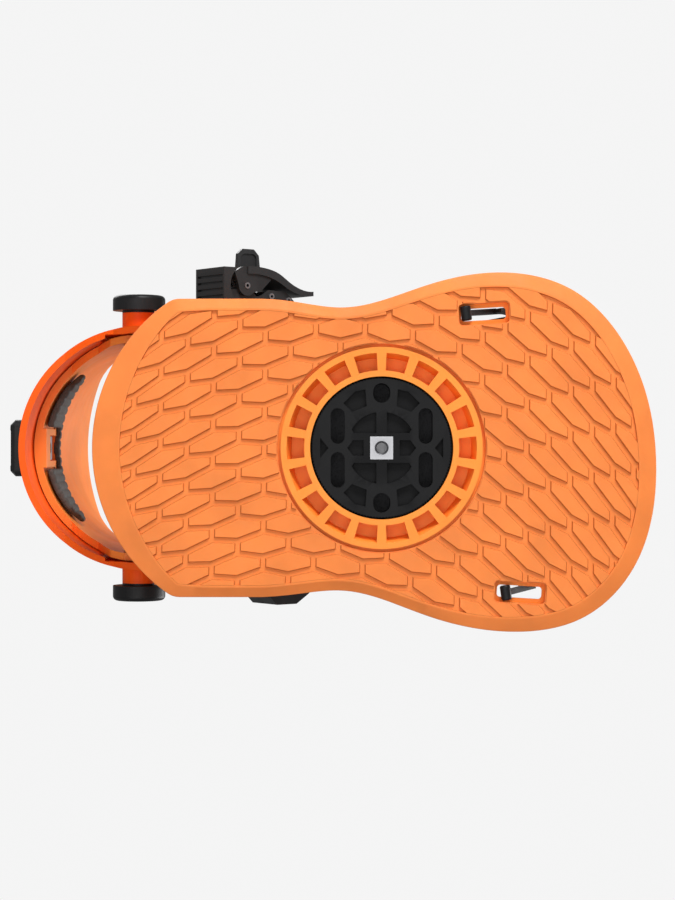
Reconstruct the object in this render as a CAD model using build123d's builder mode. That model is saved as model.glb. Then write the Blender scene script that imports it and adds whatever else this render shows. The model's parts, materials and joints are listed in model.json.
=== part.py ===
from build123d import *
import os
from math import cos, hypot, pi, radians, sin

# A strap binding for a snowboard, right foot. Millimetres, +Z up from the board, +X to the toe, +Y to
# the inner (medial) side of the foot. The origin is the centre of the mounting disc on the board.

os.makedirs("parts", exist_ok=True)

# ---- base -----------------------------------------------------------------------------------------
HEEL_RADIUS = 81.0  # heel edge of the sole, about HEEL_CENTRE
HEEL_CENTRE = -51.0
HEEL_HALF_WIDTH = 68.0
HEEL_BLEND = 9.0
PAD_THICK = 4.0  # soft sole pad, from the board up
PLATE_INSET = 2.5  # the plate stands this far inside the pad's edge
PLATE_TOP = 12.0
FOOTBED_INSET = 9.0
FOOTBED_LID = 3.4  # thickness of the middle footbed, which lies on the hub
WALL_INNER = 57.6  # side walls beside the heel
WALL_THICK = 5.0
RAIL_TOP = 19.0  # low rails beside the toe
RAIL_THICK = 4.0
SLOT_LENGTH = 20.5  # toe strap slots through the plate
SLOT_WIDTH = 5.6
SLOT_SKEW = 3.5
SLOT_CORNER = 1.6
LATERAL_SLOT = (46.6, -61.2)
MEDIAL_SLOT = (63.0, 65.8)

# ---- hub and mounting disc --------------------------------------------------------------------------
HUB_RADIUS = 46.0
HUB_BOTTOM = 0.6
HUB_TOP = 15.0
PAD_HOLE_RADIUS = 47.5
SEAT_Z = 11.0  # the disc's flange lies on this seat
POCKETS = 18
POCKET_INNER, POCKET_OUTER = 35.3, 43.3
POCKET_HALF_ANGLE = 7.0
POCKET_TOP = 9.8
POCKET_DRAFT = 2.1
DISC_TEETH = 144
DISC_RADIUS = 32.1
TOOTH_DEPTH = 0.8
DISC_BOTTOM = 1.0
DISC_TOP = 14.8
FLANGE_RADIUS = 43.0
DISC_CLEARANCE = 0.5
INSERT_PITCH = 40.0  # the board's inserts
SCREW_SLOT_WIDTH, SCREW_SLOT_LENGTH = 6.4, 16.2
SCREW_SLOT_Y = 10.0
CHANNEL_HOLE_Y = 25.0
CENTRE_NUT = 10.4
CENTRE_SCREW = 4.8

# ---- heel hoop, highback and their pivot -------------------------------------------------------------
PIVOT_X, PIVOT_Z = -115.0, 50.0
HOOP_OUTER = 57.2
HOOP_THICK = 3.2
HOOP_FRONT = -74.0
HOOP_BOTTOM, HOOP_TOP = 46.0, 80.0
BACK_OUTER = 53.4  # highback, nested inside the hoop
BACK_THICK = 3.4
BACK_RIM = 72.0
BACK_BEND = 90.0  # upright below this height, flattening above it
BACK_TOP = 220.0
BACK_LEAN = 5.4  # how far forward the top stands
TOP_HALF_WIDTH = 50.0
TOP_SAGITTA = 13.0
BOSS_RADIUS = 8.0
BOSS_OUTER = 64.5
NUT_POCKET = 18.5  # relief round the pivot nut in the wall and the hoop
SHANK_RADIUS = 4.0
KNOB_RADIUS = 12.5
KNOB_INNER, KNOB_OUTER = 65.6, 72.8
LEAN_Z = 92.0  # lean block's middle
LEAN_HEIGHT = 22.0
LEAN_HALF_WIDTH = 14.0
LEAN_TRAVEL = 10.0

# ---- straps ----------------------------------------------------------------------------------------
ANKLE_ANCHOR = (-92.0, 46.0)  # X and Z of the ankle strap's bolts
ANKLE_RISE = 38.0  # degrees above the board
TOE_RISE = 52.0
LATERAL_BAR = (38.6, -60.5)  # X and Y of the toe strap's T-bars
MEDIAL_BAR = (56.6, 65.8)
BAR_Z = 2.7
LADDER_THICK = 2.0
LADDER_HALF_WIDTH = 7.2
TOOTH_PITCH = 3.2
TOOTH_HEIGHT = 1.0
SHELL_THICK = 2.2
STRAP_PAD_THICK = 4.4
GAP = 0.3  # between pieces that move past each other


def save(piece, name):
    """Label a finished piece and write it to its own file."""
    piece.part.label = name
    export_step(piece.part, f"parts/{name}.step")


def side_profile(*points, half=80.0):
    """A solid as wide as the binding whose side view is the closed outline of points (x, z)."""
    with BuildPart() as block:
        with BuildSketch(Plane.XZ):
            with BuildLine():
                Polyline(*points, close=True)
            make_face()
        extrude(amount=half, both=True)
    return block.part


def cross_hole(x, z, radius, start, end):
    """A cylinder along Y at (x, z) that runs from start to end and, mirrored, on the other side."""
    with BuildPart() as tool:
        with BuildSketch(Plane.XZ.offset(start)):
            with Locations((x, z)):
                Circle(radius)
        extrude(amount=end - start)
        mirror(about=Plane.XZ)
    return tool.part


# ---- sole -------------------------------------------------------------------------------------------
SIDE_POINTS = [  # from the waist on the lateral side, round the toe, to the waist on the medial side
    (-55, -HEEL_HALF_WIDTH),
    (-40, -66.7),
    (-18, -64),
    (20, -74),
    (55, -80),
    (86, -72.6),
    (113, -43.5),
    (125.2, 7),
    (113, 57.8),
    (91, 77.8),
    (62, 83.8),
    (20, 76.3),
    (-18, 65),
    (-40, 66.8),
    (-55, HEEL_HALF_WIDTH),
]


def sole(inset):
    """The outline of the sole, drawn in by inset all round."""
    half_width = HEEL_HALF_WIDTH - inset
    radius = HEEL_RADIUS - inset
    corner = HEEL_CENTRE - (radius**2 - half_width**2) ** 0.5
    start, end = (SIDE_POINTS[0][0], -half_width), (SIDE_POINTS[-1][0], half_width)
    side = [start]
    for before, here, after in zip(SIDE_POINTS, SIDE_POINTS[1:], SIDE_POINTS[2:]):
        run = (after[0] - before[0], after[1] - before[1])
        step = inset / hypot(*run)
        side.append((here[0] - run[1] * step, here[1] + run[0] * step))
    side.append(end)
    with BuildSketch() as face:
        with BuildLine():
            ThreePointArc((corner, half_width), (HEEL_CENTRE - radius, 0), (corner, -half_width))
            Line((corner, -half_width), start)
            Spline(*side)
            Line(end, (corner, half_width))
        make_face()
        fillet(face.vertices().group_by(Axis.X)[0], HEEL_BLEND)
    return face.sketch


def slot_cut(length, width, bottom, top, forward=0.0):
    """The two toe strap slots as cutting solids, moved forward by forward."""
    with BuildPart() as tool:
        for (x, y), skew in ((LATERAL_SLOT, -SLOT_SKEW), (MEDIAL_SLOT, SLOT_SKEW)):
            with BuildSketch(Plane.XY.offset(bottom)):
                with Locations(Location((x + forward, y, 0), (0, 0, skew))):
                    RectangleRounded(length, width, SLOT_CORNER)
            extrude(amount=top - bottom)
    return tool.part


with BuildPart() as sole_pad:
    with BuildSketch():
        add(sole(0))
    extrude(amount=PAD_THICK)
    with BuildSketch() as opening:
        Circle(PAD_HOLE_RADIUS)
    extrude(amount=PAD_THICK, mode=Mode.SUBTRACT)
    add(slot_cut(SLOT_LENGTH + 2.5, SLOT_WIDTH + 4.0, 0, PAD_THICK), mode=Mode.SUBTRACT)
save(sole_pad, "sole_pad")

# ---- baseplate --------------------------------------------------------------------------------------
with BuildPart() as pocket:
    for height, outer in ((HUB_BOTTOM, POCKET_OUTER), (POCKET_TOP, POCKET_OUTER - POCKET_DRAFT)):
        half = radians(POCKET_HALF_ANGLE)
        with BuildSketch(Plane.XY.offset(height)):
            with BuildLine():
                low = [(POCKET_INNER * cos(a), POCKET_INNER * sin(a)) for a in (-half, 0, half)]
                high = [(outer * cos(a), outer * sin(a)) for a in (-half, 0, half)]
                ThreePointArc(*low)
                Line(low[2], high[2])
                ThreePointArc(*reversed(high))
                Line(high[0], low[0])
            make_face()
    loft(ruled=True)

with BuildPart() as baseplate:
    with BuildSketch(Plane.XY.offset(PAD_THICK)):
        add(sole(PLATE_INSET))
    extrude(amount=PLATE_TOP - PAD_THICK)
    with BuildSketch(Plane.XY.offset(PLATE_TOP)):  # low rails round the forefoot
        add(sole(PLATE_INSET))
        add(sole(PLATE_INSET + RAIL_THICK), mode=Mode.SUBTRACT)
        with Locations((50, 0)):
            Rectangle(92, 200, mode=Mode.INTERSECT)
    extrude(amount=RAIL_TOP - PLATE_TOP)
    with BuildSketch(Plane.XZ.offset(WALL_INNER)):  # side wall beside the heel
        with BuildLine():
            Polyline(
                (-104, PAD_THICK + 4),
                (-104, 52),
                (-100, 56),
                (-86, 56),
                (-58, 34),
                (-20, 17),
                (-6, PAD_THICK + 4),
                close=True,
            )
        make_face()
    wall = extrude(amount=WALL_THICK)
    mirror(wall, about=Plane.XZ)
    with BuildSketch(Plane.XY.offset(HUB_BOTTOM)):
        Circle(HUB_RADIUS)
    extrude(amount=HUB_TOP - HUB_BOTTOM)
    with BuildSketch(Plane.XY.offset(HUB_BOTTOM)):
        Circle(DISC_RADIUS + DISC_CLEARANCE)
    extrude(amount=HUB_TOP, mode=Mode.SUBTRACT)
    with BuildSketch(Plane.XY.offset(SEAT_Z)):
        Circle(FLANGE_RADIUS + DISC_CLEARANCE)
    extrude(amount=HUB_TOP, mode=Mode.SUBTRACT)
    with PolarLocations(0, POCKETS):
        add(pocket.part, mode=Mode.SUBTRACT)
    add(slot_cut(SLOT_LENGTH, SLOT_WIDTH, PAD_THICK, RAIL_TOP), mode=Mode.SUBTRACT)
    add(slot_cut(SLOT_LENGTH + 9, SLOT_WIDTH + 2.7, PAD_THICK + 3.2, RAIL_TOP, 5), mode=Mode.SUBTRACT)
    add(slot_cut(SLOT_LENGTH + 2.5, SLOT_WIDTH + 4.0, PAD_THICK, PAD_THICK + 1.8), mode=Mode.SUBTRACT)
    add(cross_hole(PIVOT_X, PIVOT_Z, NUT_POCKET, 40, BACK_OUTER + GAP), mode=Mode.SUBTRACT)
    add(cross_hole(*ANKLE_ANCHOR, 3.1, 50, 70), mode=Mode.SUBTRACT)
    for x in (-98, -82):
        add(cross_hole(x, 26, 3.1, 50, 70), mode=Mode.SUBTRACT)
save(baseplate, "baseplate")

# ---- footbeds ---------------------------------------------------------------------------------------
with BuildPart() as footbed_heel:
    with BuildSketch(Plane.XY.offset(PLATE_TOP)):
        add(sole(FOOTBED_INSET))
        with Locations((-89, 0)):
            RectangleRounded(84, 104, 12, mode=Mode.INTERSECT)
    extrude(amount=7)
    fillet(footbed_heel.faces().sort_by(Axis.Z)[-1].edges(), 2.5)
save(footbed_heel, "footbed_heel")

with BuildPart() as footbed_toe:
    with BuildSketch(Plane.XY.offset(PLATE_TOP)):
        add(sole(FOOTBED_INSET))
        with Locations((100, 2.5)):
            RectangleRounded(104, 85, 12, mode=Mode.INTERSECT)
    extrude(amount=14)
    add(
        side_profile((40, PLATE_TOP), (130, PLATE_TOP), (130, 26), (104, 26), (48, 18), (40, 16)),
        mode=Mode.INTERSECT,
    )
save(footbed_toe, "footbed_toe")

with BuildPart() as footbed_middle:  # lifts off to reach the disc's screws
    with BuildSketch(Plane.XY.offset(HUB_TOP)):
        with Locations((1.5, 0)):
            RectangleRounded(89, 92, 14)
    extrude(amount=FOOTBED_LID)
    fillet(footbed_middle.faces().sort_by(Axis.Z)[-1].edges(), 1.6)
save(footbed_middle, "footbed_middle")

# ---- mounting disc ----------------------------------------------------------------------------------
with BuildPart() as mounting_disc:
    with BuildSketch(Plane.XY.offset(DISC_BOTTOM)):
        with BuildLine():
            rim = []
            for tooth in range(DISC_TEETH * 2):
                angle = pi * tooth / DISC_TEETH
                reach = DISC_RADIUS - TOOTH_DEPTH * (tooth % 2)
                rim.append((reach * cos(angle), reach * sin(angle)))
            Polyline(*rim, close=True)
        make_face()
    extrude(amount=SEAT_Z + GAP - DISC_BOTTOM)
    with BuildSketch(Plane.XY.offset(SEAT_Z + GAP)):
        Circle(FLANGE_RADIUS)
    extrude(amount=DISC_TOP - SEAT_Z - GAP)
    # screw slots over the board's inserts, wider above for the screw heads
    for floor, length, width in (
        (DISC_BOTTOM, SCREW_SLOT_LENGTH, SCREW_SLOT_WIDTH),
        (SEAT_Z - 2, SCREW_SLOT_LENGTH + 2.4, SCREW_SLOT_WIDTH + 4.4),
    ):
        with BuildSketch(Plane.XY.offset(floor)):
            with GridLocations(INSERT_PITCH, 2 * SCREW_SLOT_Y, 2, 2):
                SlotOverall(length, width, rotation=90)
        extrude(amount=DISC_TOP, mode=Mode.SUBTRACT)
    with BuildSketch(Plane.XY.offset(DISC_BOTTOM)):  # holes for a board with a channel
        with GridLocations(0, 2 * CHANNEL_HOLE_Y, 1, 2):
            SlotOverall(8.9, 7.8, rotation=90)
    extrude(amount=DISC_TOP, mode=Mode.SUBTRACT)
    # coring on the underside
    with BuildSketch(Plane.XY.offset(DISC_BOTTOM)) as coring:
        with BuildLine():  # between a channel hole and a screw slot
            Polyline((6.8, 19.0), (13.5, 16.4), (17.4, 20.4), (12.2, 25.6), (7.4, 26.7), close=True)
        make_face()
        with BuildLine():  # beside the centre
            Line((2.4, 6.8), (2.4, 16.2))
            ThreePointArc((2.4, 16.2), (9.6, 13.2), (13.6, 8.4))
            Polyline((13.6, 8.4), (12.6, 6.8), (2.4, 6.8))
        make_face()
        mirror(about=Plane.XZ)
        mirror(about=Plane.YZ)
        for turn in (1, -1):
            with BuildLine():  # arrow heads either side of the centre
                Polyline(
                    (turn * 8.2, -3.5),
                    (turn * 13, -3.5),
                    (turn * 15.7, 0),
                    (turn * 13, 3.5),
                    (turn * 8.2, 3.5),
                    close=True,
                )
            make_face()
            with BuildLine():
                Polyline((turn * 24.2, 0), (turn * 28, -4.6), (turn * 28, 4.6), close=True)
            make_face()
    extrude(amount=2.6, mode=Mode.SUBTRACT)
    with BuildSketch(Plane.XY.offset(DISC_BOTTOM)):
        Rectangle(CENTRE_NUT + 0.4, CENTRE_NUT + 0.4)
    extrude(amount=4.2, mode=Mode.SUBTRACT)
    Hole(CENTRE_SCREW / 2 + 0.1)
    with BuildSketch(Plane.XY.offset(DISC_TOP - 2.6)):
        Circle(5.4)
    extrude(amount=4, mode=Mode.SUBTRACT)
save(mounting_disc, "mounting_disc")

with BuildPart() as disc_nut:
    with BuildSketch(Plane.XY.offset(DISC_BOTTOM + 0.3)):
        Rectangle(CENTRE_NUT, CENTRE_NUT)
    extrude(amount=3.6)
    Hole(CENTRE_SCREW / 2)
    chamfer(disc_nut.edges().filter_by(GeomType.CIRCLE).sort_by(Axis.Z)[0], 0.8)
save(disc_nut, "disc_centre_nut")

with BuildPart() as disc_screw:
    with BuildSketch(Plane.XY.offset(DISC_BOTTOM + 0.8)):
        Circle(CENTRE_SCREW / 2)
    extrude(amount=DISC_TOP - 2.6 - DISC_BOTTOM - 0.8)
    with BuildSketch(Plane.XY.offset(DISC_TOP - 2.6)):
        Circle(5.0)
    extrude(amount=2.4)
    with BuildSketch(Plane.XY.offset(DISC_TOP - 1.8)):
        RegularPolygon(2.4, 6)
    extrude(amount=3, mode=Mode.SUBTRACT)
save(disc_screw, "disc_centre_screw")

# ---- heel hoop --------------------------------------------------------------------------------------
with BuildPart() as heel_hoop:
    with BuildSketch(Plane.XY.offset(14)):
        for radius, mode in ((HOOP_OUTER, Mode.ADD), (HOOP_OUTER - HOOP_THICK, Mode.SUBTRACT)):
            with BuildLine():
                Line((HOOP_FRONT, radius), (PIVOT_X, radius))
                ThreePointArc((PIVOT_X, radius), (PIVOT_X - radius, 0), (PIVOT_X, -radius))
                Polyline((PIVOT_X, -radius), (HOOP_FRONT, -radius), (HOOP_FRONT, radius))
            make_face(mode=mode)
    extrude(amount=HOOP_TOP - 14)
    add(
        side_profile(
            (-180, HOOP_TOP),
            (-180, HOOP_BOTTOM),
            (-150, HOOP_BOTTOM),
            (-126, 38),
            (-104, 17),
            (HOOP_FRONT, 17),
            (HOOP_FRONT, 44),
            (-82, 54),
            (-100, 58),
            (-118, 66),
            (-150, HOOP_TOP),
        ),
        mode=Mode.INTERSECT,
    )
    add(cross_hole(PIVOT_X, PIVOT_Z, BOSS_RADIUS, HOOP_OUTER - 1, BOSS_OUTER))
    add(cross_hole(PIVOT_X, PIVOT_Z, SHANK_RADIUS + 0.1, 50, 70), mode=Mode.SUBTRACT)
    add(cross_hole(PIVOT_X, PIVOT_Z, NUT_POCKET, 40, BACK_OUTER + GAP), mode=Mode.SUBTRACT)
    add(cross_hole(*ANKLE_ANCHOR, 3.1, 50, 70), mode=Mode.SUBTRACT)
    for x in (-98, -82):
        add(cross_hole(x, 26, 3.1, 50, 70), mode=Mode.SUBTRACT)
save(heel_hoop, "heel_hoop")

# ---- highback ---------------------------------------------------------------------------------------
top_back = PIVOT_X - BACK_OUTER + BACK_LEAN
with BuildPart() as highback:
    with BuildSketch(Plane.XY.offset(PIVOT_Z - 14)):
        Circle(BACK_OUTER)
        Circle(BACK_OUTER - BACK_THICK, mode=Mode.SUBTRACT)
        with Locations((BACK_OUTER, 0)):
            Rectangle(2 * BACK_OUTER, 3 * BACK_OUTER, mode=Mode.SUBTRACT)
    extrude(amount=BACK_BEND - PIVOT_Z + 14)
with BuildPart() as highback_shell:
    add(highback.part.moved(Location((PIVOT_X, 0, 0))))
    with BuildSketch(Plane.XY.offset(PIVOT_Z - 14)):
        with Locations(*[(PIVOT_X + 6, side * (BACK_OUTER - BACK_THICK / 2)) for side in (-1, 1)]):
            Rectangle(12, BACK_THICK)
    extrude(amount=34)
    for height, width, sagitta, back in (
        (BACK_BEND, BACK_OUTER, BACK_OUTER, PIVOT_X - BACK_OUTER),
        (BACK_TOP + 4, TOP_HALF_WIDTH, TOP_SAGITTA, top_back),
    ):
        with BuildSketch(Plane.XY.offset(height)):
            with BuildLine():
                front, inner = back + sagitta, width - BACK_THICK
                ThreePointArc((front, width), (back, 0), (front, -width))
                Line((front, -width), (front, -inner))
                ThreePointArc((front, -inner), (back + BACK_THICK, 0), (front, inner))
                Line((front, inner), (front, width))
            make_face()
    loft()
    add(
        side_profile(
            (-185, BACK_TOP),
            (-185, BACK_RIM),
            (-150, BACK_RIM),
            (-136, 62),
            (-128, 43),
            (-121, 38),
            (-109, 38),
            (-103, 44),
            (-103, 62),
            (-110, 84),
            (-128, 122),
            (-144, 176),
            (-150, BACK_TOP),
        ),
        mode=Mode.INTERSECT,
    )
    with BuildSketch(Plane.YZ.offset(-190)):  # round the top corners
        with Locations((0, BACK_TOP / 2)):
            RectangleRounded(2 * BACK_OUTER + 1, BACK_TOP, 24)
    extrude(amount=100, mode=Mode.INTERSECT)
    # raised frame round the lean block's nut
    with BuildSketch(Plane.YZ.offset(PIVOT_X - BACK_OUTER + 1)):
        with Locations((0, LEAN_Z + 1)):
            Rectangle(19, 42)
    extrude(amount=5)
    with BuildSketch(Plane.YZ.offset(PIVOT_X - BACK_OUTER + 2.4)):
        with Locations((0, LEAN_Z + LEAN_TRAVEL / 2)):
            Rectangle(12.6, 12 + LEAN_TRAVEL)
    extrude(amount=6, mode=Mode.SUBTRACT)
    with BuildSketch(Plane.YZ.offset(-190)):
        with Locations((0, LEAN_Z + LEAN_TRAVEL / 2)):
            SlotOverall(7 + LEAN_TRAVEL, 6, rotation=90)
    extrude(amount=40, mode=Mode.SUBTRACT)
    add(cross_hole(PIVOT_X, PIVOT_Z, SHANK_RADIUS + 0.1, 45, 70), mode=Mode.SUBTRACT)
save(highback_shell, "highback_shell")

# ---- pads, pivots and lean block on the highback -------------------------------------------------------
pad_outer = BACK_OUTER - BACK_THICK - 1.1
with BuildPart() as highback_pad:
    with BuildSketch(Plane.XY.offset(BACK_RIM)):
        with Locations((PIVOT_X, 0)):
            Circle(pad_outer)
            Circle(pad_outer - 3.4, mode=Mode.SUBTRACT)
        with Locations((PIVOT_X - 50, 0)):
            Rectangle(40, 74, mode=Mode.INTERSECT)
    extrude(amount=60)
    with BuildSketch(Plane.YZ.offset(PIVOT_X - 60)):  # a crescent with its horns down
        with BuildLine():
            ThreePointArc((-37, 86), (0, 113), (37, 86))
            Line((37, 86), (30, 78))
            ThreePointArc((30, 78), (0, 76), (-30, 78))
            Line((-30, 78), (-37, 86))
        make_face()
        with Locations((0, 80)):
            Rectangle(20.4, 55.2, mode=Mode.SUBTRACT)
    extrude(amount=60, mode=Mode.INTERSECT)
    add(highback_shell.part, mode=Mode.SUBTRACT)
save(highback_pad, "highback_heel_pad")

for side, label in ((1, "lateral"), (-1, "medial")):
    pivot = Plane.XZ if side == 1 else Plane.XZ.rotated((180, 0, 0))
    spot = (PIVOT_X, PIVOT_Z if side == 1 else -PIVOT_Z)
    with BuildPart() as pivot_knob:
        for start, end, radius in (
            (BACK_OUTER - BACK_THICK - 3.4, KNOB_INNER, SHANK_RADIUS),
            (BOSS_OUTER + 1.1, KNOB_OUTER, KNOB_RADIUS),
        ):
            with BuildSketch(pivot.offset(start)):
                with Locations(spot):
                    Circle(radius)
            extrude(amount=end - start)
        fillet(pivot_knob.edges().filter_by(GeomType.CIRCLE).sort_by(Axis.Y)[-1 if side == -1 else 0], 2.2)
    save(pivot_knob, f"pivot_knob_{label}")

with BuildPart() as pivot_collars:
    with BuildSketch(Plane.XZ.offset(BOSS_OUTER)):
        with Locations((PIVOT_X, PIVOT_Z)):
            Circle(BOSS_RADIUS)
            Circle(SHANK_RADIUS + 0.05, mode=Mode.SUBTRACT)
    extrude(amount=1.1)
    mirror(about=Plane.XZ)
save(pivot_collars, "pivot_collars")

with BuildPart() as pivot_nuts:
    with BuildSketch(Plane.XZ.offset(BACK_OUTER - BACK_THICK - 4)):
        with Locations((PIVOT_X, PIVOT_Z)):
            Circle(7.2)
            Circle(SHANK_RADIUS, mode=Mode.SUBTRACT)
    extrude(amount=3.3)
    mirror(about=Plane.XZ)
save(pivot_nuts, "pivot_nuts")

SCREW_SPOTS = [(-98, 26), (-82, 26)]
wall_outer = WALL_INNER + WALL_THICK


def bolts(spots, head_seat, head_radius, hex_size):
    """Flat-headed bolts with a hexagon recess, from head_seat inward to the nuts, on both sides."""
    tail = 50.2
    with BuildPart() as group:
        for spot in spots:
            for start, length, radius in ((tail, head_seat - tail, 2.9), (head_seat, 2.2, head_radius)):
                with BuildSketch(Plane.XZ.offset(start)):
                    with Locations(spot):
                        Circle(radius)
                extrude(amount=length)
            with BuildSketch(Plane.XZ.offset(head_seat + 0.6)):
                with Locations(spot):
                    RegularPolygon(hex_size, 6)
            extrude(amount=4, mode=Mode.SUBTRACT)
        mirror(about=Plane.XZ)
    return group


def inner_nuts(spots):
    """Flanged nuts inside the hoop's arms, on both sides."""
    with BuildPart() as group:
        for spot in spots:
            for start, length, radius in ((51.2, 2.8, 6.0), (50.2, 1.0, 4.4)):
                with BuildSketch(Plane.XZ.offset(start)):
                    with Locations(spot):
                        Circle(radius)
                        Circle(2.9, mode=Mode.SUBTRACT)
                extrude(amount=length)
        mirror(about=Plane.XZ)
    return group


save(bolts(SCREW_SPOTS, wall_outer, 5.6, 2.3), "heelcup_screws")
save(inner_nuts(SCREW_SPOTS), "heelcup_nuts")

block_back = PIVOT_X - BACK_OUTER - 13.5
block_face = PIVOT_X - BACK_OUTER - 0.4
with BuildPart() as lean_block:
    with BuildSketch(Plane.YZ.offset(block_back)):
        with Locations((0, LEAN_Z)):
            RectangleRounded(2 * LEAN_HALF_WIDTH, LEAN_HEIGHT, 4)
    extrude(amount=block_face - block_back)
    chamfer(lean_block.faces().sort_by(Axis.X)[0].edges(), 2.5)
    with BuildSketch(Plane.YZ.offset(block_back)):
        with Locations((0, LEAN_Z)):
            Circle(5.6)
    extrude(amount=4.5, mode=Mode.SUBTRACT)
    with BuildSketch(Plane.YZ.offset(block_back)):
        with Locations((0, LEAN_Z)):
            Circle(2.6)
    extrude(amount=20, mode=Mode.SUBTRACT)
    with BuildSketch(Plane.YZ.offset(block_back)):  # finger grooves
        with Locations((0, LEAN_Z - 8), (0, LEAN_Z + 8)):
            SlotOverall(18, 1.6)
    extrude(amount=1.2, mode=Mode.SUBTRACT)
save(lean_block, "lean_block")

with BuildPart() as lean_screw:
    for start, length, radius in ((block_back + 2.2, 2.3, 5.2), (block_back + 4.5, 13.6, 2.5)):
        with BuildSketch(Plane.YZ.offset(start)):
            with Locations((0, LEAN_Z)):
                Circle(radius)
        extrude(amount=length)
    with BuildSketch(Plane.YZ.offset(block_back + 2.2)):
        with Locations((0, LEAN_Z)):
            RegularPolygon(2.3, 6)
    extrude(amount=1.5, mode=Mode.SUBTRACT)
save(lean_screw, "lean_screw")

with BuildPart() as lean_nut:
    with BuildSketch(Plane.YZ.offset(PIVOT_X - BACK_OUTER + 2.7)):
        with Locations((0, LEAN_Z)):
            Rectangle(11.6, 10)
            Circle(2.5, mode=Mode.SUBTRACT)
    extrude(amount=2.6)
save(lean_nut, "lean_nut")

# ---- strap planes -----------------------------------------------------------------------------------
# In a strap's own plane x runs up along the strap from its anchors, y points to the medial side and z
# runs across the strap's width.
rise = radians(ANKLE_RISE)
ankle = Plane(
    origin=(ANKLE_ANCHOR[0], 0, ANKLE_ANCHOR[1]),
    x_dir=(cos(rise), 0, sin(rise)),
    z_dir=(-sin(rise), 0, cos(rise)),
)
bar_span = hypot(MEDIAL_BAR[0] - LATERAL_BAR[0], MEDIAL_BAR[1] - LATERAL_BAR[1])
across = ((MEDIAL_BAR[0] - LATERAL_BAR[0]) / bar_span, (MEDIAL_BAR[1] - LATERAL_BAR[1]) / bar_span)
rise = radians(TOE_RISE)
toe = Plane(
    origin=((LATERAL_BAR[0] + MEDIAL_BAR[0]) / 2, (LATERAL_BAR[1] + MEDIAL_BAR[1]) / 2, BAR_Z),
    x_dir=(across[1] * cos(rise), -across[0] * cos(rise), sin(rise)),
    z_dir=(-across[1] * sin(rise), across[0] * sin(rise), cos(rise)),
)

# Outer face of each strap's shell, from the lateral leg over the foot to the medial leg.
ANKLE_ARCH = [(16, -65.2), (84, -65.2), (120, -24), (120, 24), (84, 65.2), (30, 65.2)]
ANKLE_BEND = 40.0
TOE_ARCH = [(34, -62), (46, -62), (88, -20), (88, 20), (46, 62), (34, 62)]
TOE_BEND = 24.0


def inward(points, shift):
    """The line of points moved to its left by shift."""
    normals = []
    for (x0, y0), (x1, y1) in zip(points, points[1:]):
        length = hypot(x1 - x0, y1 - y0)
        normals.append(((y0 - y1) / length, (x1 - x0) / length))
    moved = []
    for index, (x, y) in enumerate(points):
        a = normals[max(index - 1, 0)]
        b = normals[min(index, len(normals) - 1)]
        share = shift / (1 + a[0] * b[0] + a[1] * b[1])
        moved.append((x + (a[0] + b[0]) * share, y + (a[1] + b[1]) * share))
    return moved


def band(plane, points, bends, thick, half_width):
    """A strip of even thickness whose middle line is the rounded line of points."""
    with BuildPart() as strip:
        with BuildSketch(plane):
            with BuildLine():
                FilletPolyline(*points, radius=bends)
            trace(line_width=thick)
        extrude(amount=half_width, both=True)
    return strip.part


# ---- ratchet buckle -----------------------------------------------------------------------------------
# A buckle's seat plane has its origin on the lever's pin, x along the strap towards the lever's tail,
# y into the foot and z along the pins. All its sizes are for the ankle and are scaled for the toe.
FLOOR_OUTER, FLOOR_INNER = 11.0, 12.6
FLOOR_START, FLOOR_END = -12.0, 31.0
LADDER_OUTER = 8.7  # the ladder's outer face, under the teeth
PLATE_FACES = (8.4, 10.0)
WEB_FACES = (6.3, 8.1)
CHEEK_FACES = (10.3, 11.9)
LEVER_HALF_WIDTH = 12.8
HUB_REACH = 9.3
HUB_CIRCLE = 4.9
PIN_RADIUS = 1.5
RELEASE_SPOT = (15.7, 4.4)
GUIDE_SPOT = (26.0, 6.0)
PAWL_SPOT = (-4.4, -1.9)
PAWL_PIN_RADIUS = 1.0
TAB_FACES = (13.2, 15.2)
PIN_FIT = 0.05
BUCKLE_SCREWS = (-6.0, 20.0)
SIDE_PLATE = [
    (FLOOR_START, FLOOR_INNER),
    (FLOOR_START, 2.0),
    (-3.5, 1.8),
    (3.5, 1.8),
    (7, 5),
    (9.9, 4),
    (13.8, 1.4),
    (24.5, 1.8),
    (30.3, 7),
    (FLOOR_END, FLOOR_INNER),
]
DRIVE_PAWL = [(-6.2, -1.9), (-5.2, 5.4), (-3.8, 6.1), (-2.4, 4.6), (-2.6, -1.9)]
LOCK_PAWL = [(15.7, 1.8), (20.5, 3.0), (23.0, 5.4), (22.6, 7.2), (19.6, 6.4), (15.7, 6.9)]
THUMB_TAB = [
    (12.4, 7.2),
    (11.4, -6),
    (12.4, -18),
    (15, -20.5),
    (22, -20.5),
    (25, -17.5),
    (26.2, -6),
    (19.4, 7.2),
]


def scaled(points, size):
    """The outline's points at the buckle's size."""
    return [(x * size, y * size) for x, y in points]


def across_buckle(seat, size, faces, both_sides=True):
    """Planes and depths for layers between the two faces, on one or both sides of the middle."""
    low, high = (face * size for face in faces)
    layers = [(seat.offset(low), high - low)]
    if both_sides:
        layers.append((seat.offset(-high), high - low))
    return layers


def screw_plane(seat, size, depth):
    """A plane that faces into the foot, depth below the lever's pin."""
    return Plane(origin=seat.from_local_coords((0, depth * size, 0)), x_dir=seat.x_dir, z_dir=seat.y_dir)


def screw_bores(seat, size, radius):
    """The bores of the buckle's two mounting screws, through the floor and the shell."""
    with BuildPart() as bores:
        with BuildSketch(screw_plane(seat, size, FLOOR_OUTER - 1)):
            with Locations(*[(x * size, 0) for x in BUCKLE_SCREWS]):
                Circle(radius * size)
        extrude(amount=7 * size)
    return bores.part


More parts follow.
